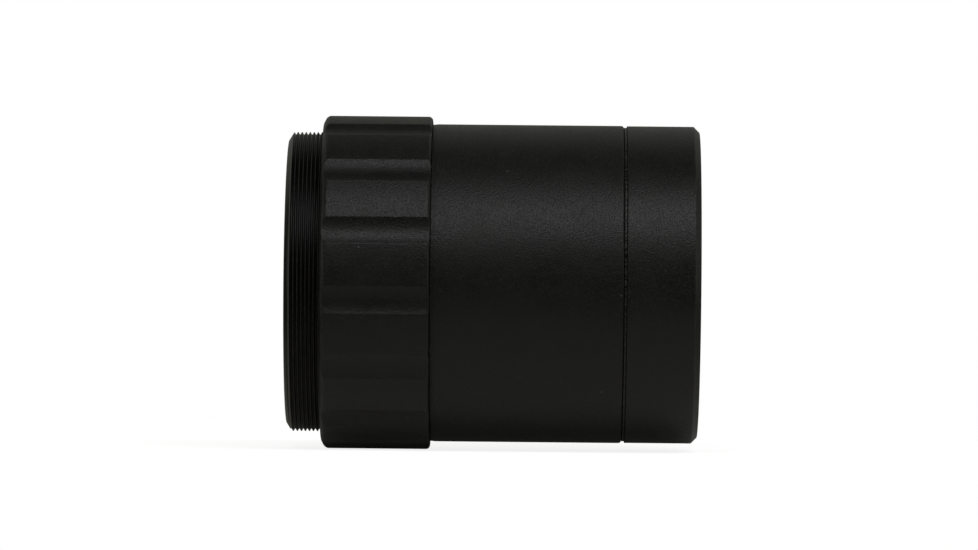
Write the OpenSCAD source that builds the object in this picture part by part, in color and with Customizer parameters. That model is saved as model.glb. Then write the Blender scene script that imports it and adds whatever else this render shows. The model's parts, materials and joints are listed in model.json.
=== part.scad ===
// Barlow lens with a threaded nose, a scalloped swivel ring, a plain barrel and a rear adapter ring.
// Millimetres. The optical axis is +X, and x = 0 is the shoulder that the nose thread seats on.

/* [Nose thread] */
// Nominal diameter of the male thread on the nose
nose_thread_d = 56; // [55:0.5:57]
// Pitch of every thread on the lens
pitch = 0.75; // [0.6:0.05:0.8]
// Length of the nose, from its tip to its shoulder
nose_len = 6.5; // [6:0.1:8]
// Length of the lead chamfer on the nose tip
lead_len = 0.93; // [0.5:0.01:1.2]
// Height of the lead chamfer on the nose tip
lead_rise = 1.5; // [0.8:0.1:1.6]

/* [Grip] */
// Outer diameter over the lands of the grip
grip_d = 62.2; // [61:0.1:66]
// Length of the grip
grip_len = 20.27; // [19:0.01:24]
// Number of scallops round the grip
scallop_count = 15; // [9:1:18]
// Radius of the cutter that leaves a scallop
scallop_r = 6.3; // [5:0.1:8]
// Depth of a scallop below the lands
scallop_depth = 0.65; // [0.4:0.05:0.9]
// Length of the bevel on the grip's front edge
grip_bevel_len = 1.05; // [0.5:0.05:1.5]
// Height of the bevel on the grip's front edge
grip_bevel_rise = 1.35; // [0.5:0.05:1.5]
// Radius of the grip's rear edge
grip_edge_r = 0.7; // [0.3:0.1:1]

/* [Barrel] */
// Outer diameter of the barrel
barrel_d = 59.3; // [58:0.1:60.5]
// Length of the barrel's outer wall
barrel_len = 35.6; // [34:0.05:45]
// Open gap between the grip and the barrel
swivel_gap = 0.08; // [0.08:0.01:0.3]
// Length over which the barrel's front edge is eased
front_ease_len = 0.95; // [0.3:0.05:1.5]
// Height that the barrel's front edge is eased by
front_ease_rise = 0.1; // [0.05:0.01:0.3]
// Outer diameter of the front spigot that the grip turns on
spigot_d = 49; // [48.6:0.1:49.2]
// Bore of the barrel behind the lens
barrel_bore_d = 52; // [51:0.5:52]

/* [Adapter ring] */
// Outer diameter of the adapter ring
adapter_d = 59.2; // [58:0.1:60]
// Length of the adapter ring
adapter_len = 14.05; // [13.9:0.05:16]
// Gap left between the barrel and the adapter ring when it is screwed home
adapter_gap = 0.05; // [0.05:0.01:0.1]
// Length of the narrow collar at the ring's front edge
adapter_collar_len = 0.5; // [0.3:0.05:0.8]
// Depth of the collar below the ring's outer wall
adapter_collar_depth = 0.3; // [0.2:0.05:0.5]
// Chamfer on the ring's rear edge
adapter_chamfer = 1.1; // [0.5:0.1:1.3]
// Nominal diameter of the female thread at the rear
rear_thread_d = 54; // [53.6:0.1:54]
// Length of the female thread at the rear
rear_thread_len = 4.8; // [4:0.1:5]

/* [Lens] */
// Diameter of the glass
lens_d = 38.3; // [37:0.1:38.3]
// Radius of the hollow front surface
front_surface_r = 110; // [90:5:200]
// Radius of the cemented surface
cement_surface_r = 75; // [70:5:100]
// Radius of the hollow surface behind the cemented pair
middle_surface_r = 300; // [200:10:400]
// Radius of the rear element's front surface
rear_front_r = 160; // [120:10:300]
// Radius of the rear element's rear surface
rear_back_r = 220; // [160:10:400]
// Edge thickness of the rear element
rear_edge = 4; // [3.5:0.1:4.5]
// Thickness of the front element at its centre
front_centre = 1.68; // [1.5:0.01:2]
// Thickness of the middle element at its centre
middle_centre = 4.8; // [4.5:0.1:5]
// Width of the air gap's spacer ring
spacer_len = 1.2; // [0.8:0.1:1.5]

/* [Hidden] */

// Fineness of every turned shape
facets = 180;

// Running clearance between two turned pieces, on the radius
run = 0.05;
// Clearance along the axis in the swivel
float_gap = 0.07;
// Room round a piece that is dropped in
drop = 0.15;
// How far a cutter passes the solid that it cuts
past = 1;

// Thread form
crest_undersize = 0.05;
crest_flat = 0.25;
root_flat = 0.12;
thread_depth = 0.41;
nose_crest_r = nose_thread_d / 2 - crest_undersize;
nose_root_r = nose_crest_r - thread_depth;
last_crest = -0.35;
relief_r = nose_crest_r + 0.1;
relief_depth = 0.2;
nose_crests = round((nose_len - lead_len + last_crest) / pitch);

// Stations along the axis
tip_x = -nose_len;
shoulder_x = grip_len + swivel_gap;
barrel_end_x = shoulder_x + barrel_len;
adapter_x = barrel_end_x + adapter_gap;
adapter_end_x = adapter_x + adapter_len;

// Swivel
spigot_r = spigot_d / 2;
journal_r = spigot_r + run;
nose_bore_r = spigot_r + 1;
swivel_ring_r = nose_bore_r - drop;
thrust_x = 1.6;
washer_len = 0.5;
shim_len = 0.2;
snap_len = 1.2;
snap_depth = 0.6;
snap_gap = 9;
snap_gap_turn = 30;
front_washer_x = thrust_x - float_gap - washer_len;
shim_x = front_washer_x - shim_len;
snap_x = shim_x - snap_len;
snap_land = 1.2;
spigot_tip_x = snap_x - snap_land;
rear_washer_x = shoulder_x - washer_len;
rear_recess_x = rear_washer_x - float_gap;
rear_washer_r = 27.5;

// Lens cell
lens_r = lens_d / 2;
cell_bore_r = lens_r + run;
cell_thread_r = 21.45;
cell_seat_r = cell_thread_r + run;
cell_flange_r = spigot_r - 0.3;
cell_flange_x = spigot_tip_x - run;
cell_flange_len = 1.7;
cell_flange_bevel = 0.3;
cell_front_x = cell_flange_x - cell_flange_len;
cell_lip_x = 13.5;
cell_lip_len = 1.5;
cell_lip_r = lens_r - 1.15;
cell_o_section = 1;
cell_o_r = cell_seat_r + 0.7;
cell_groove_len = 1.1;
cell_groove_r = cell_o_r + cell_o_section / 2 + run;
notch_w = 2;
notch_depth = 0.8;

// Glass, from the rear forward
cement = 0.02;
rear_x = cell_lip_x - rear_edge;
spacer_x = rear_x - spacer_len;
middle_back_vertex = spacer_x - sag(middle_surface_r, lens_r);
middle_vertex = middle_back_vertex - middle_centre;
front_back_vertex = middle_vertex - cement;
front_vertex = front_back_vertex - front_centre;
front_edge_x = front_vertex - sag(front_surface_r, lens_r);
middle_edge_x = middle_vertex + sag(cement_surface_r, lens_r);
gasket_len = 0.5;
gasket_x = front_edge_x - gasket_len;
retainer_x = cell_front_x + 0.5;
ring_wall = 1.55;
clear_r = lens_r - ring_wall;

// Barrel interior
bore_r = barrel_bore_d / 2;
bore_step_x = shoulder_x + 2.15;
screw_len = 6;
screw_end_x = barrel_end_x + screw_len;
first_screw_crest = 0.42;
screw_crests = floor((screw_len - first_screw_crest) / pitch);
stop_len = 1.5;
rear_stop_len = 1.2;
front_sleeve_len = 16;
sleeve_wall = 1.1;
baffle_ring_len = 2.5;
front_sleeve_x = bore_step_x + stop_len;
rear_stop_x = front_sleeve_x + front_sleeve_len;
rear_sleeve_x = rear_stop_x + rear_stop_len;
baffle_ring_x = screw_end_x - 1 - baffle_ring_len;
rear_sleeve_len = baffle_ring_x - rear_sleeve_x;
front_stop_r = 19;
rear_stop_r = 21;

// Adapter ring interior
socket_r = nose_crest_r + run;
socket_end_x = adapter_x + 7.1;
adapter_o_section = 1;
adapter_o_r = 27.2;
lip_len = 0.6;
lip_r = 26.3;
rear_major_r = rear_thread_d / 2 + 0.05;
rear_minor_r = rear_thread_d / 2 - 0.4;
rear_crests = floor(rear_thread_len / pitch);

// Depth of a spherical surface at a height from its axis
function sag(surface_r, height) = surface_r - sqrt(surface_r * surface_r - height * height);

// Points of a round corner, as [radius, station], from one angle to the other
function corner(centre_r, centre_x, r, from, to, steps = 5) = [
    for (i = [0:steps])
        let (a = from + (to - from) * i / steps)
        [centre_r + r * cos(a), centre_x + r * sin(a)]
];

// Crests of a thread, from the first one in the direction of step, as [radius, station]
function crests(first_x, step, count, crest_r, root_r) =
    let (side = sign(step))
    [
        for (k = [0:count - 1])
            let (x = first_x + k * step)
            each [
                [root_r, x - side * (pitch - root_flat) / 2],
                [crest_r, x - side * crest_flat / 2],
                [crest_r, x + side * crest_flat / 2],
                [root_r, x + side * (pitch - root_flat) / 2]
            ]
    ];

// A solid turned about the optical axis from points given as [radius, station]
module turned(points) {
    rotate([0, 90, 0])
        rotate_extrude($fn = facets)
            polygon(points);
}

// A plain ring between two stations
module ring(inner_r, outer_r, x, len) {
    turned([[inner_r, x], [outer_r, x], [outer_r, x + len], [inner_r, x + len]]);
}

// A ring of round section about the optical axis
module o_ring(centre_r, x, section) {
    rotate([0, 90, 0])
        translate([0, 0, x])
            rotate_extrude($fn = facets)
                translate([centre_r, 0])
                    circle(d = section, $fn = 32);
}

// A rod along the optical axis
module rod(r, x, len) {
    translate([x, 0, 0])
        rotate([0, 90, 0])
            cylinder(r = r, h = len, $fn = facets);
}

// A ball whose centre lies on the optical axis
module ball(r, x) {
    translate([x, 0, 0])
        rotate([0, 90, 0])
            sphere(r = r, $fn = 2 * facets);
}

// Two slots for a pin spanner, cut into a ring's face on opposite sides
module spanner_slots(x, len, width, inner_r, outer_r) {
    for (side = [-1, 1])
        translate([x, side * (inner_r + outer_r) / 2 - (outer_r - inner_r) / 2, -width / 2])
            cube([len, outer_r - inner_r, width]);
}

// Male nose thread and scalloped grip in one piece, free to turn on the barrel's spigot
module coupling_ring() {
    grip_r = grip_d / 2;
    bevel_step = grip_bevel_rise / 3;
    rear_corner = corner(grip_r - grip_edge_r, grip_len - grip_edge_r, grip_edge_r, 0, 90);
    scallop_centre_r = grip_r - scallop_depth + scallop_r;
    lead_crest_x = last_crest - nose_crests * pitch;
    lead_end_x = tip_x + lead_len;
    color("#1b1b1b")
        difference() {
            turned(concat(
                [[nose_bore_r, tip_x]],
                [[nose_crest_r - lead_rise, tip_x]],
                [[nose_crest_r, lead_end_x]],
                [[nose_crest_r, max(lead_crest_x + crest_flat / 2, lead_end_x + 0.05)]],
                crests(last_crest - (nose_crests - 1) * pitch, pitch, nose_crests, nose_crest_r, nose_root_r),
                [[nose_root_r, relief_depth]],
                [[relief_r, 0]],
                [[grip_r - grip_bevel_rise, 0]],
                [[grip_r - bevel_step, grip_bevel_len * 0.45]],
                [[grip_r, grip_bevel_len]],
                rear_corner,
                [[rear_washer_r + drop, grip_len]],
                [[rear_washer_r + drop, rear_recess_x]],
                [[journal_r, rear_recess_x]],
                [[journal_r, thrust_x]],
                [[nose_bore_r, thrust_x]]
            ));
            for (k = [0:scallop_count - 1])
                rotate([360 / scallop_count * k, 0, 0])
                    translate([-past, 0, scallop_centre_r])
                        rotate([0, 90, 0])
                            cylinder(r = scallop_r, h = grip_len + 2 * past, $fn = facets);
        }
}

// Slippery washer between the coupling ring and the shim
module front_glide_washer() {
    color("#e8e6df")
        ring(spigot_r, swivel_ring_r, front_washer_x, washer_len);
}

// Slippery washer between the coupling ring and the barrel's shoulder
module rear_glide_washer() {
    color("#e8e6df")
        ring(spigot_r, rear_washer_r, rear_washer_x, washer_len);
}

// Thin shim that sets the end float of the swivel
module float_shim() {
    color("#b5934a")
        ring(spigot_r, swivel_ring_r, shim_x, shim_len);
}

// Split ring in the spigot's groove, which keeps the coupling ring on
module snap_ring() {
    color("#3a3c40")
        difference() {
            ring(spigot_r - snap_depth, swivel_ring_r, snap_x, snap_len);
            rotate([-snap_gap_turn, 0, 0])
                translate([snap_x - past, spigot_r - snap_depth - past, -snap_gap / 2])
                    cube([snap_len + 2 * past, snap_depth + 3 * past, snap_gap]);
        }
}

// Main tube: front spigot, outer wall and rear screw in one piece
module main_barrel() {
    barrel_r = barrel_d / 2;
    front_edge = 0.05;
    eased_r = barrel_r - front_ease_rise;
    lip_edge_r = 0.5;
    lip_round = corner(barrel_r - lip_edge_r, barrel_end_x - lip_edge_r, lip_edge_r, 0, 90, 4);
    first_crest = barrel_end_x + first_screw_crest;
    color("#1b1b1b")
        turned(concat(
            [[cell_groove_r, spigot_tip_x]],
            [[spigot_r, spigot_tip_x]],
            [[spigot_r, snap_x]],
            [[spigot_r - snap_depth, snap_x]],
            [[spigot_r - snap_depth, shim_x]],
            [[spigot_r, shim_x]],
            [[spigot_r, shoulder_x]],
            [[eased_r - front_edge, shoulder_x]],
            [[eased_r, shoulder_x + front_edge]],
            [[barrel_r, shoulder_x + front_ease_len]],
            lip_round,
            [[nose_root_r, barrel_end_x]],
            crests(first_crest, pitch, screw_crests, nose_crest_r, nose_root_r),
            [[nose_root_r, screw_end_x]],
            [[bore_r, screw_end_x]],
            [[bore_r, bore_step_x]],
            [[cell_seat_r, bore_step_x]],
            [[cell_seat_r, spigot_tip_x + cell_groove_len]],
            [[cell_groove_r, spigot_tip_x + cell_groove_len]]
        ));
}

// Tube with a front flange that holds the glass and screws into the spigot
module lens_cell() {
    color("#232324")
        difference() {
            turned([
                [cell_bore_r, cell_front_x],
                [cell_flange_r - cell_flange_bevel, cell_front_x],
                [cell_flange_r, cell_front_x + cell_flange_bevel],
                [cell_flange_r, cell_flange_x],
                [cell_thread_r, cell_flange_x],
                [cell_thread_r, cell_lip_x + cell_lip_len],
                [cell_lip_r, cell_lip_x + cell_lip_len],
                [cell_lip_r, cell_lip_x],
                [cell_bore_r, cell_lip_x]
            ]);
            spanner_slots(
                cell_front_x - past, past + notch_depth, notch_w,
                cell_flange_r - 2, cell_flange_r + past
            );
        }
}

// Seal under the lens cell's flange
module cell_o_ring() {
    color("#2b2b2b")
        o_ring(cell_o_r, spigot_tip_x + cell_groove_len / 2, cell_o_section);
}

// Threaded ring with spanner slots that clamps the glass
module lens_retaining_ring() {
    color("#232324")
        difference() {
            turned([
                [clear_r + 0.9, retainer_x],
                [lens_r, retainer_x],
                [lens_r, gasket_x],
                [clear_r, gasket_x]
            ]);
            spanner_slots(
                retainer_x - past, past + notch_depth, notch_w,
                lens_r - 1.3, lens_r + past
            );
        }
}

// Soft ring between the retaining ring and the front element
module lens_gasket() {
    color("#2b2b2b")
        ring(clear_r, lens_r, gasket_x, gasket_len);
}

// Hollow front lens of the cemented pair
module front_element() {
    color("#9fb8c8")
        difference() {
            rod(lens_r, front_edge_x, middle_edge_x - cement - front_edge_x);
            ball(front_surface_r, front_vertex - front_surface_r);
            ball(cement_surface_r, front_back_vertex + cement_surface_r);
        }
}

// Second lens of the cemented pair
module middle_element() {
    color("#a9c1cd")
        difference() {
            intersection() {
                rod(lens_r, middle_vertex - past, spacer_x - middle_vertex + past);
                ball(cement_surface_r, middle_vertex + cement_surface_r);
            }
            ball(middle_surface_r, middle_back_vertex + middle_surface_r);
        }
}

// Thin ring that sets the air gap
module element_spacer() {
    color("#232324")
        ring(lens_r - 0.9, lens_r, spacer_x, spacer_len);
}

// Hollow rear lens
module rear_element() {
    color("#9fb8c8")
        difference() {
            rod(lens_r, rear_x, rear_edge);
            ball(rear_front_r, rear_x + sag(rear_front_r, lens_r) - rear_front_r);
            ball(rear_back_r, cell_lip_x - sag(rear_back_r, lens_r) + rear_back_r);
        }
}

// Bevelled disc with a hole, which stops stray light
module glare_stop(hole_r, x, len) {
    edge = 0.3;
    turned([
        [hole_r, x],
        [bore_r - run, x],
        [bore_r - run, x + len],
        [hole_r + len, x + len],
        [hole_r, x + edge]
    ]);
}

// Stop against the step at the front of the bore
module front_glare_stop() {
    color("#151515")
        glare_stop(front_stop_r, bore_step_x, stop_len);
}

// Blackened liner with fine inner ridges
module baffle_sleeve(x, len) {
    inner_r = bore_r - sleeve_wall;
    ridge = 0.35;
    step = 1;
    land = 0.1;
    ridges = floor((len - step) / step);
    turned(concat(
        [[bore_r - run, x]],
        [[bore_r - run, x + len]],
        [[inner_r, x + len]],
        [
            for (k = [ridges:-1:1])
                each [
                    [inner_r, x + k * step + land],
                    [inner_r + ridge, x + (k - 0.5) * step]
                ]
        ],
        [[inner_r, x + land]],
        [[inner_r, x]]
    ));
}

module front_baffle_sleeve() {
    color("#151515")
        baffle_sleeve(front_sleeve_x, front_sleeve_len);
}

// Stop between the two sleeves
module rear_glare_stop() {
    color("#151515")
        glare_stop(rear_stop_r, rear_stop_x, rear_stop_len);
}

module rear_baffle_sleeve() {
    color("#151515")
        baffle_sleeve(rear_sleeve_x, rear_sleeve_len);
}

// Threaded ring with spanner slots that holds the sleeves and stops in
module baffle_retaining_ring() {
    inner_r = bore_r - 2.3;
    bevel = 0.4;
    face_x = baffle_ring_x + baffle_ring_len;
    color("#232324")
        difference() {
            turned([
                [inner_r, baffle_ring_x],
                [bore_r - run, baffle_ring_x],
                [bore_r - run, face_x],
                [inner_r + bevel, face_x],
                [inner_r, face_x - bevel]
            ]);
            spanner_slots(
                face_x - notch_depth, past + notch_depth, notch_w,
                inner_r - past, bore_r + past
            );
        }
}

// Rear ring: screws onto the barrel, and takes a camera adapter in its rear thread
module adapter_ring() {
    adapter_r = adapter_d / 2;
    mouth_x = adapter_end_x - 0.45;
    collar_r = adapter_r - adapter_collar_depth;
    collar_end_x = adapter_x + adapter_collar_len;
    edge = 0.1;
    color("#1b1b1b")
        turned(concat(
            [[socket_r, adapter_x]],
            [[collar_r - edge, adapter_x]],
            [[collar_r, adapter_x + edge]],
            [[collar_r, collar_end_x]],
            [[adapter_r - edge, collar_end_x]],
            [[adapter_r, collar_end_x + edge]],
            [[adapter_r, adapter_end_x - adapter_chamfer]],
            [[adapter_r - adapter_chamfer, adapter_end_x]],
            [[rear_major_r + 0.05, adapter_end_x]],
            [[rear_minor_r, mouth_x]],
            [[rear_minor_r, mouth_x - crest_flat]],
            crests(mouth_x - crest_flat / 2 - pitch, -pitch, rear_crests, rear_minor_r, rear_major_r),
            [[rear_major_r, socket_end_x + lip_len]],
            [[lip_r, socket_end_x + lip_len]],
            [[lip_r, socket_end_x]],
            [[socket_r, socket_end_x]]
        ));
}

// Seal inside the adapter ring
module adapter_o_ring() {
    color("#2b2b2b")
        o_ring(adapter_o_r, socket_end_x - adapter_o_section / 2 - run, adapter_o_section);
}

coupling_ring();
front_glide_washer();
rear_glide_washer();
float_shim();
snap_ring();
main_barrel();
lens_cell();
cell_o_ring();
lens_retaining_ring();
lens_gasket();
front_element();
middle_element();
element_spacer();
rear_element();
front_glare_stop();
front_baffle_sleeve();
rear_glare_stop();
rear_baffle_sleeve();
baffle_retaining_ring();
adapter_ring();
adapter_o_ring();
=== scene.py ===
"""Looks for the barlow lens: turned and threaded shells, glass, materials, studio light and camera."""

import json
import math

import bmesh
import bpy
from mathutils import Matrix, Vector


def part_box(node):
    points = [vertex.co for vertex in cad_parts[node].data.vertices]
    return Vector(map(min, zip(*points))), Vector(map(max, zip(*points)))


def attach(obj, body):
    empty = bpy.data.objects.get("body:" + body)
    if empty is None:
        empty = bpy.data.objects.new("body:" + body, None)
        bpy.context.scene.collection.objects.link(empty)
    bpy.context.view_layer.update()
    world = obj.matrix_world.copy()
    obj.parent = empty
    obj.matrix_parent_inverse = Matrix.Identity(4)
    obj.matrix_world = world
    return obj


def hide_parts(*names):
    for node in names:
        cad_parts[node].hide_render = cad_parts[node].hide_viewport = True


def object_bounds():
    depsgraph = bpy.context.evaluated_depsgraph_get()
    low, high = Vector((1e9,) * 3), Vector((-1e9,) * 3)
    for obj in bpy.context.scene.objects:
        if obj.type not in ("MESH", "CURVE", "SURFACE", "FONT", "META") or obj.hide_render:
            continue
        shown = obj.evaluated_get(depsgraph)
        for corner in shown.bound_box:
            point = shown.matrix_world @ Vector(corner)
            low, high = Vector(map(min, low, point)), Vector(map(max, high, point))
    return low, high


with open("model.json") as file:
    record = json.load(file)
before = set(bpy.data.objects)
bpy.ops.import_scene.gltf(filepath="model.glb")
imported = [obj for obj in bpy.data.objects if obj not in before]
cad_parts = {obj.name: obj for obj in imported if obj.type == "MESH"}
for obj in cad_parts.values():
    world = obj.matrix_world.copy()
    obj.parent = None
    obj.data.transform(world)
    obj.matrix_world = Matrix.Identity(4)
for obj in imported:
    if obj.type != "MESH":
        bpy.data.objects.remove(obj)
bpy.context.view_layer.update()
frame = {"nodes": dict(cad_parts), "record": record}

MM = 0.001


# ---------------------------------------------------------------- sizes, in millimetres


def span(node):
    """(front x, rear x, outer radius) of a CAD node at rest."""
    low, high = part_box(node)
    return low[0] / MM, high[0] / MM, max(-low[1], high[1]) / MM


def mount_r(name):
    """Radius of a mount."""
    return next(m["dims"]["r_mm"] for m in frame["record"]["mounts"] if m["name"] == name)


# clearances: between turned pieces, along the axis in the swivel, and round a washer
RUN = 0.05
FLOAT_GAP = 0.07
DROP = 0.15
# how near a face or a point is to count as on a station or clear of a wall
TOUCH = 0.01
CLEAR = 0.1

# stations and radii of CAD nodes
NOSE_X, GRIP_END_X, GRIP_R = span("coupling_ring")
SPIGOT_X, SCREW_END_X, BARREL_R = span("main_barrel")
RING_X, RING_END_X, RING_R = span("adapter_ring")
REAR_WASHER_X, SHOULDER_X, REAR_WASHER_R = span("rear_glide_washer")
FRONT_WASHER_END = span("front_glide_washer")[1]
SHIM_X = span("float_shim")[0]
SNAP_X = span("snap_ring")[0]
STOP_X = span("front_glare_stop")[0]
BORE_R = span("front_glare_stop")[2] + RUN
GLASS_R = span("rear_element")[2]
BARREL_END_X = RING_X - RUN

# thread, and one turn of its outline as (place along the pitch, share of the depth)
PITCH = 0.75
THREAD_R = mount_r("nose_thread")
THREAD_DEPTH = 0.41
ROOT_R = THREAD_R - THREAD_DEPTH
THREAD_FORM = [
    (0.0, 0), (0.07, 0), (0.16, 0.3), (0.36, 1), (0.5, 1.08), (0.64, 1), (0.84, 0.3), (0.93, 0)
]

# coupling ring: chamfer before the nose thread, relief behind it, bevel and scallops of the grip
NOSE_CREST_X = -0.4
LEAD_LEN = 0.93
LEAD_RISE = 1.5
RELIEF_R = THREAD_R + 0.1
RELIEF_DEPTH = 0.2
BEVEL_LEN = 1.05
BEVEL_RISE = 1.35
GRIP_EDGE_R = 0.7
SCALLOPS = 15
SCALLOP_R = 6.3
SCALLOP_DEPTH = 0.65
SCALLOP_CENTRE = GRIP_R - SCALLOP_DEPTH + SCALLOP_R
SCALLOP_HALF = math.acos(
    (GRIP_R**2 + SCALLOP_CENTRE**2 - SCALLOP_R**2) / (2 * GRIP_R * SCALLOP_CENTRE)
)

# barrel: spigot with the swivel on it, seat of the lens cell, eased front and round lip
SPIGOT_R = 24.5
NOSE_BORE_R = SPIGOT_R + 1
SNAP_DEPTH = 0.6
CELL_SEAT_R = 21.5
SEAL_GROOVE_R = 22.75
SEAL_GROOVE_LEN = 1.1
EASE_LEN = 0.95
EASE_RISE = 0.1
EASE_ROUND = 4
LIP_R = 0.5
SCREW_TAIL = 0.5

# adapter ring: collar at the joint, socket for the barrel's screw, lip, female thread and chamfer
COLLAR_LEN = 0.5
COLLAR_DEPTH = 0.3
SOCKET_LEN = 7.1
INNER_LIP_R = 26.3
INNER_LIP_LEN = 0.6
MINOR_R = mount_r("rear_thread")
MAJOR_R = 27.05
RUN_OUT = 0.6
MOUTH_LEN = 0.45
CHAMFER = 1.1

# painted shade in the joint: stations where dark lines are painted as shadow, on the barrel's lip, on
# the collar's front edge and in its rear corner
LIP_SHADE = 0.2
COLLAR_SHADE = 0.05
CORNER_SHADE = 0.13


# ---------------------------------------------------------------- outlines

EDGE_R = 0.1
EDGE_STEPS = 6
ARC_STEPS = 24
STRAIGHT = 0.05
MOST_OF_SIDE = 0.42
SUPPORT = 0.25


def rounded(points):
    """The closed outline of (r, x) points with each corner rounded.

    A third number in a point is that corner's own radius. A close point on each side of a round
    keeps the flats flat.
    """
    out = []
    for i, point in enumerate(points):
        here = Vector(point[:2])
        before = Vector(points[i - 1][:2]) - here
        after = Vector(points[(i + 1) % len(points)][:2]) - here
        radius = point[2] if len(point) > 2 else EDGE_R
        turn = math.pi - before.angle(after)
        if turn < STRAIGHT or radius == 0:
            out.append(tuple(here))
            continue
        reach = radius * math.tan(turn / 2)
        reach = min(reach, MOST_OF_SIDE * before.length, MOST_OF_SIDE * after.length)
        start = here + before.normalized() * reach
        end = here + after.normalized() * reach
        support = SUPPORT * reach
        # a conic through the corner is a circular arc when its weight is the cosine of half the turn
        weight = math.cos(turn / 2)
        out.append(tuple(start + before.normalized() * support))
        for k in range(EDGE_STEPS + 1):
            t = k / EDGE_STEPS
            scale = (1 - t) ** 2 + 2 * weight * t * (1 - t) + t**2
            mixed = start * (1 - t) ** 2 + here * 2 * weight * t * (1 - t) + end * t**2
            out.append(tuple(mixed / scale))
        out.append(tuple(end + after.normalized() * support))
    return out


def starting_at(outline, corner):
    """The closed outline, turned so that it starts at the point nearest a corner."""
    first = min(range(len(outline)), key=lambda i: math.dist(outline[i], corner))
    return outline[first:] + outline[:first]


def sag(surface_r, height):
    """Depth of a spherical surface at a height from the axis. It has the sign of the radius."""
    return math.copysign(1, surface_r) * (abs(surface_r) - math.sqrt(surface_r**2 - height**2))


def arc_of_glass(surface_r, vertex_x, height):
    """Points (r, x) on a spherical surface, from the axis out. A positive radius bulges forward."""
    heights = [height * k / ARC_STEPS for k in range(ARC_STEPS + 1)]
    return [(h, vertex_x + sag(surface_r, h)) for h in heights]


# ---------------------------------------------------------------- meshes

SHELL_COLUMNS = 288
GLASS_COLUMNS = 192
# shares of a scallop's half, and of the land's half beside it, where the grip has a column
SCALLOP_COLUMNS = [0, 0.2, 0.4, 0.6, 0.78, 0.9, 0.96, 1.0]
LAND_COLUMNS = [0.015, 0.05, 0.12, 0.3, 0.55, 0.8]


def even_angles(count):
    """Angles of evenly spaced columns."""
    return [2 * math.pi * k / count for k in range(count)]


def scallop_angles():
    """Angles for the grip's columns, closer together at the edges of the scallops."""
    sector = math.pi / SCALLOPS
    half = [SCALLOP_HALF * t for t in SCALLOP_COLUMNS]
    half += [SCALLOP_HALF + (sector - SCALLOP_HALF) * t for t in LAND_COLUMNS]
    around = [-a for a in reversed(half[1:])] + half + [sector]
    top = math.pi / 2
    return [top + 2 * sector * k + a for k in range(SCALLOPS) for a in around]


class Turned:
    """A mesh made of bands round the X axis. Each band is a grid of rows by angle."""

    def __init__(self, angles):
        self.angles = angles
        self.bm = bmesh.new()

    def _vert(self, angle, r, x):
        return self.bm.verts.new((x * MM, r * math.cos(angle) * MM, r * math.sin(angle) * MM))

    def _skin(self, rows, material):
        for low, high in zip(rows, rows[1:]):
            for i in range(len(low) - 1):
                face = self.bm.faces.new((low[i], low[i + 1], high[i + 1], high[i]))
                face.smooth = True
                face.material_index = material

    def band(self, outline, shape=None, material=0):
        """A band through points (r, x). shape(angle, r) may lower a point."""
        rows = []
        for r, x in outline:
            row = [self._vert(angle, shape(angle, r) if shape else r, x) for angle in self.angles]
            rows.append(row + row[:1])
        self._skin(rows, material)

    def thread(self, start_x, end_x, crest_r, depth, envelope, material=1, crest_x=0.0):
        """A right-hand helical thread between two stations. envelope(x, r) caps it at its ends.

        crest_x is the station of one crest at the top of the lens.
        """
        turns = math.ceil((end_x - start_x) / PITCH) + 2
        phase = (crest_x - start_x) % PITCH
        top = math.pi / 2
        rows = []
        for k in range(-2, turns):
            for place, deep in THREAD_FORM:
                row = []
                for angle in self.angles + [self.angles[0] + 2 * math.pi]:
                    lead = (angle - top) / (2 * math.pi)
                    x = start_x + phase + (k + place + lead) * PITCH
                    x = min(max(x, start_x), end_x)
                    row.append(self._vert(angle, envelope(x, crest_r - depth * deep), x))
                rows.append(row)
        self._skin(rows, material)

    def paint(self, material, where):
        """Gives a material to the faces whose centre (r, x) passes a test."""
        for face in self.bm.faces:
            centre = face.calc_center_median() / MM
            if where(math.hypot(centre.y, centre.z), centre.x):
                face.material_index = material

    def piece(self, name, body, slot, nodes, materials, sharp=None):
        """Closes the mesh, links it under its body and hides the CAD nodes it replaces. sharp is an
        angle in degrees.
        """
        bmesh.ops.remove_doubles(self.bm, verts=self.bm.verts, dist=1e-7)
        bmesh.ops.dissolve_degenerate(self.bm, edges=self.bm.edges, dist=1e-8)
        bmesh.ops.recalc_face_normals(self.bm, faces=self.bm.faces)
        mesh = bpy.data.meshes.new(name)
        self.bm.to_mesh(mesh)
        self.bm.free()
        for material in materials:
            mesh.materials.append(material)
        if sharp:
            mesh.set_sharp_from_angle(angle=math.radians(sharp))
        piece = bpy.data.objects.new(name, mesh)
        bpy.context.scene.collection.objects.link(piece)
        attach(piece, body)
        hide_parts(*nodes)


def slot_of(node):
    """The material slot that the record gives a CAD node."""
    return next(s["material_slot"] for s in frame["record"]["subparts"] if s["node"] == node)


# ---------------------------------------------------------------- node trees


def scaled(colour, factor):
    """A colour made lighter or darker."""
    return tuple(c * factor for c in colour)


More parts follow.
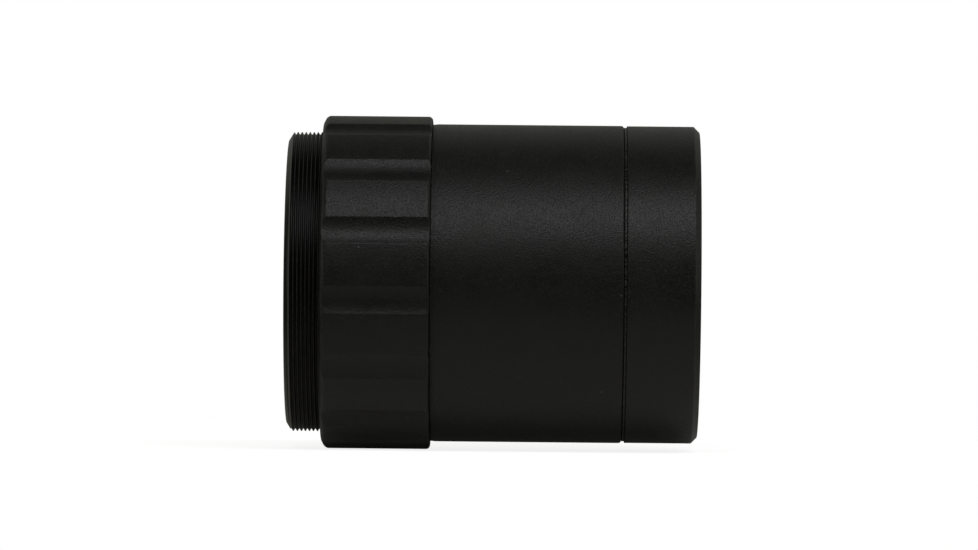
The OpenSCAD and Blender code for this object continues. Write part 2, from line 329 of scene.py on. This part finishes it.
class Nodes:
    """Short ways of adding nodes to a tree. A value may be a constant or another node's output."""

    def __init__(self, tree):
        self.nodes = tree.nodes
        self.links = tree.links

    def feed(self, target, value):
        """Sets an input, or links it."""
        if isinstance(value, bpy.types.NodeSocket):
            self.links.new(value, target)
        else:
            target.default_value = (*value, 1) if isinstance(value, tuple) else value

    def node(self, kind, **inputs):
        """A new node with its inputs fed by name."""
        node = self.nodes.new("ShaderNode" + kind)
        for name, value in inputs.items():
            self.feed(node.inputs[name.replace("_", " ")], value)
        return node

    def span(self, source, low, high, from_low=0.0, from_high=1.0, smooth=False):
        """source, stretched from one range to another and clamped."""
        node = self.node("MapRange", Value=source, From_Min=from_low, From_Max=from_high)
        node.inputs["To Min"].default_value = low
        node.inputs["To Max"].default_value = high
        if smooth:
            node.interpolation_type = "SMOOTHSTEP"
        return node.outputs["Result"]

    def combine(self, a, b, operation="ADD"):
        node = self.nodes.new("ShaderNodeMath")
        node.operation = operation
        self.feed(node.inputs[0], a)
        self.feed(node.inputs[1], b)
        return node.outputs[0]

    def blend(self, factor, a, b):
        """Colour a where factor is 0 and b where it is 1."""
        node = self.nodes.new("ShaderNodeMix")
        node.data_type = "RGBA"
        for name, value in (("Factor", factor), ("A", a), ("B", b)):
            self.feed(node.inputs[name], value)
        return node.outputs["Result"]

    def length(self, vector):
        node = self.nodes.new("ShaderNodeVectorMath")
        node.operation = "LENGTH"
        self.links.new(vector, node.inputs[0])
        return node.outputs["Value"]

    def only_for_camera(self, seen, otherwise, output):
        """Joins two shaders: seen is what the camera sees, and otherwise is what lights the lens."""
        path = self.nodes.new("ShaderNodeLightPath")
        mix = self.node("MixShader", Fac=path.outputs["Is Camera Ray"])
        self.links.new(otherwise, mix.inputs[1])
        self.links.new(seen, mix.inputs[2])
        self.links.new(mix.outputs[0], self.nodes[output].inputs["Surface"])


class Shader(Nodes):
    """A node material with a Principled shader."""

    def __init__(self, name, **values):
        self.mat = bpy.data.materials.new(name)
        self.mat.use_nodes = True
        super().__init__(self.mat.node_tree)
        self.main = self.nodes["Principled BSDF"]
        self.place = self.nodes.new("ShaderNodeTexCoord").outputs["Object"]
        for key, value in values.items():
            self.main.inputs[key.replace("_", " ")].default_value = value

    def noise(self, scale, detail=2.0, rough=0.5, where=None):
        node = self.node(
            "TexNoise", Scale=scale, Detail=detail, Roughness=rough, Vector=where or self.place
        )
        return node.outputs["Fac"]

    def specks(self, scale, size):
        """Rare round specks, at most size millimetres in radius."""
        reach = size * MM * scale
        node = self.node("TexVoronoi", Scale=scale, Vector=self.place)
        return self.span(node.outputs["Distance"], 1, 0, 0.5 * reach, reach)

    def polar(self):
        """Distance from the optical axis and station along it, in metres."""
        split = self.node("SeparateXYZ", Vector=self.place)
        join = self.node("CombineXYZ", Y=split.outputs["Y"], Z=split.outputs["Z"])
        return self.length(join.outputs[0]), split.outputs["X"]

    def beside(self, station, strength, solid, reach):
        """strength at a station along the axis, and 0 at reach from it. Sizes in millimetres."""
        from_station = self.combine(self.polar()[1], station * MM, "SUBTRACT")
        away = self.combine(from_station, 0, "ABSOLUTE")
        return self.span(away, strength, 0, solid * MM, reach * MM)

    def turning_lines(self, scale):
        """Fine lines left by a lathe tool, the same all the way round."""
        r, x = self.polar()
        return self.noise(scale, 2.0, 0.6, self.node("CombineXYZ", X=r, Y=x).outputs[0])

    def bump(self, height, distance, strength=1.0):
        node = self.node("Bump", Height=height, Distance=distance, Strength=strength)
        self.links.new(node.outputs["Normal"], self.main.inputs["Normal"])

    def colour(self, source):
        self.links.new(source, self.main.inputs["Base Color"])

    def rough(self, source):
        self.links.new(source, self.main.inputs["Roughness"])


# ---------------------------------------------------------------- materials

BODY_COLOUR = (0.0068, 0.0067, 0.0059)
# painted light: the adapter ring's copy of the body's colour is made lighter, standing in for the
# stronger light the ring catches
RING_LIT_COLOUR = scaled(BODY_COLOUR, 1.12)
TURNED_COLOUR = (0.012, 0.012, 0.012)
RUBBED_COLOUR = (0.05, 0.049, 0.045)
DUST_COLOUR = (0.2, 0.2, 0.19)
# thread flanks and roots, painted darker than the anodising as shade in the grooves
THREAD_GROOVE_SHADE = (0.002, 0.002, 0.0019)
NOSE_CREST_COLOUR = (0.045, 0.044, 0.039)
SCREW_CREST_COLOUR = (0.11, 0.107, 0.1)
BLAST_GRAIN = 3500
CREST_WEAR = 0.5


def blasted_black(name, roughness, colour, edges=()):
    """Black anodising over bead-blasted aluminium: grain, mottling, specks of dust, rubbed edges.

    edges are the stations along the axis, in millimetres, where an edge is rubbed.
    """
    s = Shader(name)
    fine = s.noise(BLAST_GRAIN, 1.0, 0.4)
    pores = s.noise(BLAST_GRAIN * 1.7, 1.0, 0.5)
    mottle = s.noise(160, 3.0, 0.6)
    tone = s.combine(s.span(mottle, 0, 0.35, 0.35, 0.65), s.span(pores, 0, 0.65, 0.33, 0.67))
    paint = s.blend(tone, scaled(colour, 0.4), scaled(colour, 1.6))
    for edge in edges:
        patches = s.span(mottle, 0, 1, 0.42, 0.6)
        rubbed = s.combine(s.beside(edge, 0.5, 0, 0.25), patches, "MULTIPLY")
        paint = s.blend(rubbed, paint, RUBBED_COLOUR)
    s.colour(s.blend(s.specks(190, 0.16), paint, DUST_COLOUR))
    broad = s.span(mottle, roughness - 0.03, roughness + 0.03, 0.3, 0.7)
    s.rough(s.combine(broad, s.span(pores, -0.1, 0.1, 0.3, 0.7)))
    glints = s.span(s.noise(BLAST_GRAIN * 1.5, 0.0), 0, 0.5, 0.6, 0.74)
    s.bump(s.combine(fine, glints), 0.00006)
    return s.mat


def turned_black(name, roughness, colour):
    """Black anodising over a plain turned surface."""
    s = Shader(name)
    lines = s.turning_lines(9000)
    mottle = s.noise(220, 3.0, 0.6)
    s.colour(s.blend(s.span(mottle, 0, 1, 0.35, 0.65), scaled(colour, 0.7), scaled(colour, 1.3)))
    broad = s.span(mottle, roughness - 0.03, roughness + 0.03, 0.3, 0.7)
    s.rough(s.combine(broad, s.span(lines, -0.04, 0.04, 0.3, 0.7)))
    s.bump(lines, 0.00001, 0.5)
    return s.mat


def chattered_black(name):
    """Black anodising over a turned step with chatter marks that glint."""
    s = Shader(name)
    marks = s.span(s.noise(2300, 1.0, 0.6), 0, 1, 0.44, 0.62)
    s.colour(s.blend(marks, (0.004, 0.004, 0.0036), RUBBED_COLOUR))
    s.rough(s.span(marks, 0.26, 0.42))
    s.bump(marks, 0.00007)
    return s.mat


def thread_black(name, crest_colour, edges):
    """Thread with flanks and roots painted dark as shade in the grooves, crests rubbed brighter in
    places, and rubbed edges at stations.
    """
    s = Shader(name, Specular_IOR_Level=0.36)
    rubbed = s.noise(3400, 2.0, 0.7)
    crest = s.span(s.polar()[0], 0, 1, (THREAD_R - 0.14) * MM, (THREAD_R - 0.02) * MM)
    patches = s.span(rubbed, 0.2, 1, 0.9 - CREST_WEAR, 1.1 - CREST_WEAR)
    # the grooves get the painted shade colour, and the crests are rubbed brighter in patches
    paint = s.blend(s.combine(crest, patches, "MULTIPLY"), THREAD_GROOVE_SHADE, crest_colour)
    for edge in edges:
        paint = s.blend(s.beside(edge, 1, 0.03, 0.17), paint, scaled(crest_colour, 2.4))
    s.colour(paint)
    s.rough(s.span(crest, 0.33, 0.54))
    s.bump(rubbed, 0.00002, 0.6)
    return s.mat


def matte_baffle(name, shine=0.5):
    """Dead-matte optical black with a faint powdery grain."""
    s = Shader(name, Specular_IOR_Level=shine)
    powder = s.noise(6000, 2.0, 0.6)
    grain = s.span(powder, 0, 1, 0.35, 0.65)
    s.colour(s.blend(grain, (0.006, 0.006, 0.006), (0.014, 0.014, 0.013)))
    s.rough(s.span(powder, 0.78, 0.95, 0.3, 0.7))
    s.bump(powder, 0.00003, 0.6)
    return s.mat


def coated_glass(name, tint, sheen):
    """Polished glass with an anti-reflection coating that shows as a tinted reflection."""
    s = Shader(name, Roughness=0.02, IOR=1.52, Transmission_Weight=1.0)
    s.main.inputs["Specular Tint"].default_value = (*sheen, 1)
    haze = s.noise(90, 2.0, 0.5)
    paler = tuple(min(1, c * 1.03) for c in tint)
    s.colour(s.blend(s.span(haze, 0, 1, 0.3, 0.7), tint, paler))
    s.rough(s.span(haze, 0.0, 0.012, 0.45, 0.75))
    return s.mat


def ground_edge(name):
    """The ground and blackened edge of a lens."""
    s = Shader(name)
    grind = s.noise(5000, 2.0, 0.6)
    s.colour(s.blend(grind, (0.012, 0.012, 0.012), (0.03, 0.03, 0.03)))
    s.rough(s.span(grind, 0.6, 0.85))
    s.bump(grind, 0.00002, 0.6)
    return s.mat


def waxy_plastic(name):
    """White low-friction plastic sheet."""
    s = Shader(name)
    cloud = s.noise(300, 3.0, 0.6)
    s.colour(s.blend(cloud, (0.72, 0.71, 0.66), (0.84, 0.83, 0.79)))
    s.rough(s.span(cloud, 0.42, 0.55))
    s.bump(s.turning_lines(5000), 0.00001, 0.4)
    return s.mat


def metal(name, dark, light, low, high):
    """Bare or phosphated sheet metal with rolling marks. low and high limit its roughness."""
    s = Shader(name, Metallic=1.0)
    marks = s.turning_lines(6000)
    s.colour(s.blend(s.noise(250, 3.0, 0.6), dark, light))
    s.rough(s.span(marks, low, high, 0.3, 0.7))
    s.bump(marks, 0.00001, 0.5)
    return s.mat


def rubber(name):
    """Smooth black rubber with a dusty bloom."""
    s = Shader(name)
    bloom = s.noise(700, 3.0, 0.6)
    s.colour(s.blend(s.span(bloom, 0, 1, 0.35, 0.7), (0.012, 0.012, 0.012), (0.03, 0.03, 0.029)))
    s.rough(s.span(bloom, 0.45, 0.62))
    s.bump(s.noise(5000, 2.0), 0.00001, 0.5)
    return s.mat


GRIP = blasted_black("blasted_grip", 0.42, BODY_COLOUR, (0.5,))
SHELL = blasted_black("blasted_black", 0.42, BODY_COLOUR)
RING = blasted_black("blasted_ring", 0.4, RING_LIT_COLOUR, (RING_END_X - CHAMFER, RING_END_X))
THREAD = thread_black("thread_black", NOSE_CREST_COLOUR, (NOSE_X + 0.06, NOSE_X + LEAD_LEN))
SCREW = thread_black("thread_worn", SCREW_CREST_COLOUR, (SCREW_END_X - SCREW_TAIL,))
INNER = turned_black("turned_black", 0.36, TURNED_COLOUR)
COLLAR = chattered_black("chattered_collar")
# matte black painted on the joint's edges: painted shade standing in for the shadow in the gap between
# barrel and adapter ring
PAINTED_JOINT_SHADE = matte_baffle("seam_black", 0.15)
BAFFLE = matte_baffle("matte_baffle")
GLASS = coated_glass("coated_glass", (0.93, 0.98, 0.95), (0.35, 0.9, 0.6))
GLASS_REAR = coated_glass("coated_glass_rear", (0.95, 0.97, 0.98), (0.6, 0.5, 0.95))
EDGE = ground_edge("ground_edge")
WAXY = waxy_plastic("waxy_plastic")
BRASS = metal("rolled_brass", (0.52, 0.37, 0.15), (0.66, 0.49, 0.22), 0.25, 0.4)
STEEL = metal("phosphated_steel", (0.06, 0.06, 0.065), (0.12, 0.12, 0.125), 0.35, 0.5)
RUBBER = rubber("seal_rubber")


# ---------------------------------------------------------------- coupling ring: nose thread and grip

SOFTNESS = 0.03
LONG_FACE = 5
LAND_ROWS = 6


def scalloped(angle, r):
    """A radius on the grip, lowered where a scallop's cutter has passed. The edge is broken."""
    sector = 2 * math.pi / SCALLOPS
    off = (angle - math.pi / 2 + sector / 2) % sector - sector / 2
    across = SCALLOP_CENTRE * math.sin(off)
    if abs(across) >= SCALLOP_R:
        return r
    floor = SCALLOP_CENTRE * math.cos(off) - math.sqrt(SCALLOP_R**2 - across**2)
    gap = max(SOFTNESS - abs(r - floor), 0) / SOFTNESS
    return min(r, floor) - gap * gap * SOFTNESS / 4


def nose_envelope(x, r):
    """Cuts the nose thread to its chamfer at the tip and to its root at the grip."""
    chamfer = THREAD_R - LEAD_RISE + (x - NOSE_X) * LEAD_RISE / LEAD_LEN
    return min(r, chamfer, ROOT_R if x > -2 * TOUCH else r)


def coupling_ring():
    recess_x = REAR_WASHER_X - FLOAT_GAP
    thrust_x = FRONT_WASHER_END + FLOAT_GAP
    outline = rounded(
        [
            (ROOT_R, RELIEF_DEPTH, 0),
            (RELIEF_R, 0, 0.04),
            (GRIP_R - BEVEL_RISE, 0, 0.25),
            (GRIP_R - BEVEL_RISE / 3, BEVEL_LEN * 0.45, 0.9),
            (GRIP_R, BEVEL_LEN, 0.9),
            (GRIP_R, GRIP_END_X, GRIP_EDGE_R),
            (REAR_WASHER_R + DROP, GRIP_END_X),
            (REAR_WASHER_R + DROP, recess_x, 0.03),
            (SPIGOT_R + RUN, recess_x),
            (SPIGOT_R + RUN, thrust_x),
            (NOSE_BORE_R, thrust_x, 0.03),
            (NOSE_BORE_R, NOSE_X, 0.12),
            (THREAD_R - LEAD_RISE, NOSE_X, 0),
        ]
    )
    ring = starting_at(outline, (ROOT_R, RELIEF_DEPTH))
    # extra rows along the lands
    rows = []
    for (r0, x0), (_, x1) in zip(ring, ring[1:]):
        rows.append((r0, x0))
        if x1 - x0 > LONG_FACE:
            rows += [(r0, x0 + (x1 - x0) * k / LAND_ROWS) for k in range(1, LAND_ROWS)]
    rows.append(ring[-1])

    t = Turned(scallop_angles())
    t.band(rows, scalloped)
    t.thread(NOSE_X, RELIEF_DEPTH, THREAD_R, THREAD_DEPTH, nose_envelope, crest_x=NOSE_CREST_X)
    looks = [GRIP, THREAD]
    t.piece("coupling_ring_shell", "coupling", slot_of("coupling_ring"), ["coupling_ring"], looks)


# ---------------------------------------------------------------- main barrel


def screw_envelope(x, r):
    """Cuts the barrel's screw to its root at both ends."""
    at_end = x < BARREL_END_X + 2 * TOUCH or x > SCREW_END_X - SCREW_TAIL
    return ROOT_R if at_end else r


def main_barrel():
    groove_end = SPIGOT_X + SEAL_GROOVE_LEN
    snap_r = SPIGOT_R - SNAP_DEPTH
    outline = rounded(
        [
            (BARREL_R, BARREL_END_X, LIP_R),
            (ROOT_R, BARREL_END_X, 0),
            (ROOT_R, SCREW_END_X, 0),
            (BORE_R, SCREW_END_X, 0.15),
            (BORE_R, STOP_X, 0.03),
            (CELL_SEAT_R, STOP_X),
            (CELL_SEAT_R, groove_end, 0.05),
            (SEAL_GROOVE_R, groove_end, 0.05),
            (SEAL_GROOVE_R, SPIGOT_X, 0.08),
            (SPIGOT_R, SPIGOT_X, 0.15),
            (SPIGOT_R, SNAP_X, 0.03),
            (snap_r, SNAP_X, 0.03),
            (snap_r, SHIM_X, 0.03),
            (SPIGOT_R, SHIM_X, 0.03),
            (SPIGOT_R, SHOULDER_X, 0.05),
            (BARREL_R - EASE_RISE, SHOULDER_X, 0.08),
            (BARREL_R, SHOULDER_X + EASE_LEN, EASE_ROUND),
        ]
    )
    t = Turned(even_angles(SHELL_COLUMNS))
    t.band(starting_at(outline, (ROOT_R, SCREW_END_X)))
    t.thread(BARREL_END_X, SCREW_END_X, THREAD_R, THREAD_DEPTH, screw_envelope)
    # the last of the barrel's lip is painted with the matte black: painted shade in the joint
    lip_x = BARREL_END_X - LIP_SHADE
    t.paint(2, lambda r, x: lip_x < x < BARREL_END_X + TOUCH and r > ROOT_R + CLEAR)
    looks = [SHELL, SCREW, PAINTED_JOINT_SHADE]
    t.piece("main_barrel_shell", "barrel", slot_of("main_barrel"), ["main_barrel"], looks)


# ---------------------------------------------------------------- adapter ring


def adapter_ring():
    collar_r = RING_R - COLLAR_DEPTH
    collar_end = RING_X + COLLAR_LEN
    socket_r = THREAD_R + RUN
    socket_end = RING_X + SOCKET_LEN
    thread_x = socket_end + INNER_LIP_LEN
    mouth = RING_END_X - MOUTH_LEN
    outline = rounded(
        [
            (socket_r, RING_X),
            (collar_r, RING_X, 0.05),
            (collar_r, RING_X + COLLAR_SHADE, 0),
            (collar_r, collar_end - CORNER_SHADE, 0),
            (collar_r, collar_end, 0.02),
            (RING_R, collar_end, 0.12),
            (RING_R, RING_END_X - CHAMFER, 0.25),
            (RING_R - CHAMFER, RING_END_X, 0.12),
            (MAJOR_R + 0.05, RING_END_X, 0.08),
            (MINOR_R, mouth, 0),
            (MAJOR_R, thread_x, 0),
            (INNER_LIP_R, thread_x, 0.08),
            (INNER_LIP_R, socket_end, 0.08),
            (socket_r, socket_end, 0.03),
        ]
    )

    def envelope(x, r):
        """Cuts the female thread's crests level at the mouth, and runs it out at the lip."""
        if x > mouth - TOUCH:
            return MINOR_R
        return MAJOR_R if x < thread_x + RUN_OUT else r

    t = Turned(even_angles(SHELL_COLUMNS))
    t.band(starting_at(outline, (MAJOR_R, thread_x)))
    t.thread(thread_x, mouth, MINOR_R, MINOR_R - MAJOR_R, envelope)
    corner_x = collar_end - CORNER_SHADE
    t.paint(2, lambda r, x: x < collar_end + TOUCH and r > socket_r + CLEAR)
    # the collar's front edge and its rear corner are painted with the matte black: painted shade in the
    # joint
    t.paint(3, lambda r, x: x < RING_X + COLLAR_SHADE and r > socket_r + CLEAR)
    t.paint(3, lambda r, x: corner_x < x < collar_end + 3 * TOUCH and r > collar_r - TOUCH)
    looks = [RING, INNER, COLLAR, PAINTED_JOINT_SHADE]
    t.piece("adapter_ring_shell", "adapter", slot_of("adapter_ring"), ["adapter_ring"], looks)


# ---------------------------------------------------------------- glass

FRONT_SURFACE_R = 110
CEMENT_SURFACE_R = 75
MIDDLE_SURFACE_R = 300
REAR_FRONT_R = 160
REAR_BACK_R = 220
CEMENT = 0.02
GLASS_BEVEL = 0.25
GLASS_SHARP = 35
# how far a ground edge stops short of the rim, along the axis: open, before and behind the cement
EDGE_INSET = 0.2
INSET_BEFORE_CEMENT = 0.1
INSET_BEHIND_CEMENT = 0.15


def glass_element(node, front, back, edge_front, edge_back, material):
    """A lens from its two surfaces, given as (radius, vertex x), with a small bevel on each edge."""
    front_arc = arc_of_glass(front[0], front[1], GLASS_R - GLASS_BEVEL)
    back_arc = arc_of_glass(back[0], back[1], GLASS_R - GLASS_BEVEL)
    rim = [front_arc[-1], (GLASS_R, edge_front), (GLASS_R, edge_back), back_arc[-1]]
    t = Turned(even_angles(GLASS_COLUMNS))
    t.band(front_arc)
    t.band(rim, material=1)
    t.band(back_arc)
    looks = [material, EDGE]
    t.piece(node + "_glass", "lens_group", slot_of(node), [node], looks, sharp=GLASS_SHARP)


def glass():
    front_x, front_end, _ = span("front_element")
    middle_x, middle_end, _ = span("middle_element")
    rear_x, rear_end, _ = span("rear_element")
    glass_element(
        "front_element",
        (-FRONT_SURFACE_R, front_x + sag(FRONT_SURFACE_R, GLASS_R)),
        (CEMENT_SURFACE_R, middle_x - CEMENT),
        front_x + EDGE_INSET,
        front_end - INSET_BEFORE_CEMENT,
        GLASS,
    )
    glass_element(
        "middle_element",
        (CEMENT_SURFACE_R, middle_x),
        (-MIDDLE_SURFACE_R, middle_end - sag(MIDDLE_SURFACE_R, GLASS_R)),
        middle_x + sag(CEMENT_SURFACE_R, GLASS_R) + INSET_BEHIND_CEMENT,
        middle_end - EDGE_INSET,
        GLASS,
    )
    glass_element(
        "rear_element",
        (-REAR_FRONT_R, rear_x + sag(REAR_FRONT_R, GLASS_R)),
        (-REAR_BACK_R, rear_end - sag(REAR_BACK_R, GLASS_R)),
        rear_x + EDGE_INSET,
        rear_end - EDGE_INSET,
        GLASS_REAR,
    )


# ---------------------------------------------------------------- carried-over nodes

LOOKS = {
    "anodised_inner": INNER,
    "baffle_black": BAFFLE,
    "glide_washer": WAXY,
    "shim": BRASS,
    "spring_steel": STEEL,
    "seal": RUBBER,
}
BROKEN_EDGES = {
    "lens_cell": 0.12,
    "lens_retaining_ring": 0.08,
    "baffle_retaining_ring": 0.1,
    "snap_ring": 0.08,
}
BROKEN_ANGLE = 40


def finish_cad_nodes():
    """Materials, and a fine broken edge, on the CAD nodes that stay."""
    for node, piece in frame["nodes"].items():
        material = LOOKS.get(slot_of(node))
        if not material:
            continue
        if piece.data.materials:
            for index in range(len(piece.data.materials)):
                piece.material_slots[index].material = material
        else:
            piece.data.materials.append(material)
        if node in BROKEN_EDGES:
            bevel = piece.modifiers.new("broken_edge", "BEVEL")
            bevel.width = BROKEN_EDGES[node] * MM
            bevel.segments = 2
            bevel.limit_method = "ANGLE"
            bevel.angle_limit = math.radians(BROKEN_ANGLE)


# ---------------------------------------------------------------- studio, in metres

CENTRE_X = (NOSE_X + RING_END_X) / 2 * MM
FLOOR_R = 0.6
FLOOR_SIDES = 96
WORLD_COLOUR = (1.0, 0.99, 0.93)
WORLD_FILL = 0.02
WHITE = (1, 1, 1)
# the floor's bounce colours: a painted pool of light in front of the lens, and the painted shade behind
# it and away from it
FLOOR_BOUNCE = (0.84, 0.83, 0.755)
FLOOR_PAINTED_SHADE = (0.05, 0.05, 0.045)
FLOOR_GLOW = (0.037, 0.037, 0.0336)
FLOOR_SHADE = 0.6
FLOOR_WHITE = 0.85
# where the seen floor fades out, and where the floor that lights the lens turns dim: a painted shadow
# behind the lens and a painted fall-off away from it, round a painted pool of light in front
FADE_FROM, FADE_TO = 0.05, 0.3
BEHIND_FROM, BEHIND_TO = 0.01, 0.1
FAR_FROM, FAR_TO = 0.04, 0.17
# name, degrees round to the right of the camera, degrees up, distance, (width, height), radiance, colour
LIGHTS = [
    ("key_softbox", 15, 50.5, 0.9, (1.1, 0.42), 1.85, (1, 1, 1)),
    ("back_panel", 180, 34, 1.0, (2.4, 1.05), 0.22, (1, 1, 0.9)),
    ("left_panel", -80, 12, 0.9, (0.8, 0.8), 0.5, (1, 1, 0.96)),
    ("right_panel", 80, 12, 0.9, (0.8, 0.8), 0.5, (1, 1, 0.96)),
]
FOCAL_MM = 250
SENSOR_MM = 36
NEAREST = 0.01
CAMERA_PLACE = (0.0392, -1.27, 0.00155)
CAMERA_AIM = (0.0310, 0, 0.00155)
CAMERA_ROLL = 0.55


def studio():
    """A round floor, dim surroundings that the camera sees as white, and four area lights."""
    floor_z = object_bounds()[0][2]
    bm = bmesh.new()
    bmesh.ops.create_circle(bm, cap_ends=True, segments=FLOOR_SIDES, radius=FLOOR_R)
    mesh = bpy.data.meshes.new("floor")
    bm.to_mesh(mesh)
    bm.free()
    floor = bpy.data.objects.new("floor", mesh)
    floor.location = (CENTRE_X, 0, floor_z)
    bpy.context.scene.collection.objects.link(floor)
    mesh.materials.append(floor_paint())

    world = bpy.data.worlds.new("surroundings")
    bpy.context.scene.world = world
    world.use_nodes = True
    tree = Nodes(world.node_tree)
    fill = tree.nodes["Background"]
    tree.feed(fill.inputs["Color"], WORLD_COLOUR)
    tree.feed(fill.inputs["Strength"], WORLD_FILL)
    white = tree.node("Background", Color=WHITE)
    tree.only_for_camera(white.outputs[0], fill.outputs[0], "World Output")

    for light in LIGHTS:
        softbox(*light)


def floor_paint():
    """Pale floor that fades into the white surroundings. What it throws back is a painted pool of light,
    with painted shade behind and around it.
    """
    mat = bpy.data.materials.new("floor_paint")
    mat.use_nodes = True
    tree = Nodes(mat.node_tree)
    tree.nodes.remove(tree.nodes["Principled BSDF"])
    place = tree.nodes.new("ShaderNodeTexCoord").outputs["Object"]
    away = tree.length(place)

    def surface(paint, glow):
        """A matte paint with an even glow added."""
        join = tree.nodes.new("ShaderNodeAddShader")
        tree.links.new(tree.node("BsdfDiffuse", Color=paint).outputs[0], join.inputs[0])
        tree.links.new(tree.node("Emission", Color=glow).outputs[0], join.inputs[1])
        return join.outputs[0]

    # painted shadow on the floor behind the lens, and a painted fall-off away from it, dim what the
    # floor throws back
    back = tree.node("SeparateXYZ", Vector=place).outputs["Y"]
    behind = tree.span(back, 0, 1, BEHIND_FROM, BEHIND_TO)
    far = tree.span(away, 0, 1, FAR_FROM, FAR_TO, smooth=True)
    tone = tree.blend(tree.combine(behind, far, "MAXIMUM"), FLOOR_BOUNCE, FLOOR_PAINTED_SHADE)
    bounced = surface(tone, FLOOR_GLOW)

    shown = surface((FLOOR_SHADE,) * 3, (FLOOR_WHITE,) * 3)
    faded = tree.node("MixShader", Fac=tree.span(away, 0, 1, FADE_FROM, FADE_TO, smooth=True))
    tree.links.new(shown, faded.inputs[1])
    tree.links.new(tree.nodes.new("ShaderNodeBsdfTransparent").outputs[0], faded.inputs[2])
    tree.only_for_camera(faded.outputs[0], bounced, "Material Output")
    return mat


def softbox(name, around, up, distance, size, radiance, colour):
    """An area light aimed at the lens from a direction seen from the camera's side."""
    light = bpy.data.lights.new(name, "AREA")
    light.shape = "RECTANGLE"
    light.size, light.size_y = size
    light.energy = radiance * math.pi * size[0] * size[1]
    light.color = colour
    lamp = bpy.data.objects.new(name, light)
    side, height = math.radians(around), math.radians(up)
    flat = math.cos(height)
    direction = Vector((math.sin(side) * flat, -math.cos(side) * flat, math.sin(height)))
    lamp.location = Vector((CENTRE_X, 0, 0)) + distance * direction
    lamp.rotation_euler = direction.to_track_quat("Z", "Y").to_euler()
    lamp.visible_camera = False
    bpy.context.scene.collection.objects.link(lamp)


def camera():
    """A long lens level with the optical axis, a little to the right of the lens's middle."""
    data = bpy.data.cameras.new("camera")
    data.lens = FOCAL_MM
    data.sensor_width = SENSOR_MM
    data.clip_start = NEAREST
    cam = bpy.data.objects.new("camera", data)
    cam.location = CAMERA_PLACE
    turn = (Vector(CAMERA_AIM) - cam.location).to_track_quat("-Z", "Y")
    cam.rotation_euler = turn.to_euler()
    cam.rotation_euler.rotate_axis("Z", math.radians(CAMERA_ROLL))
    bpy.context.scene.collection.objects.link(cam)
    bpy.context.scene.camera = cam
    view = bpy.context.scene.view_settings
    view.view_transform = "Standard"
    view.look = "None"


camera()
coupling_ring()
main_barrel()
adapter_ring()
glass()
finish_cad_nodes()
studio()
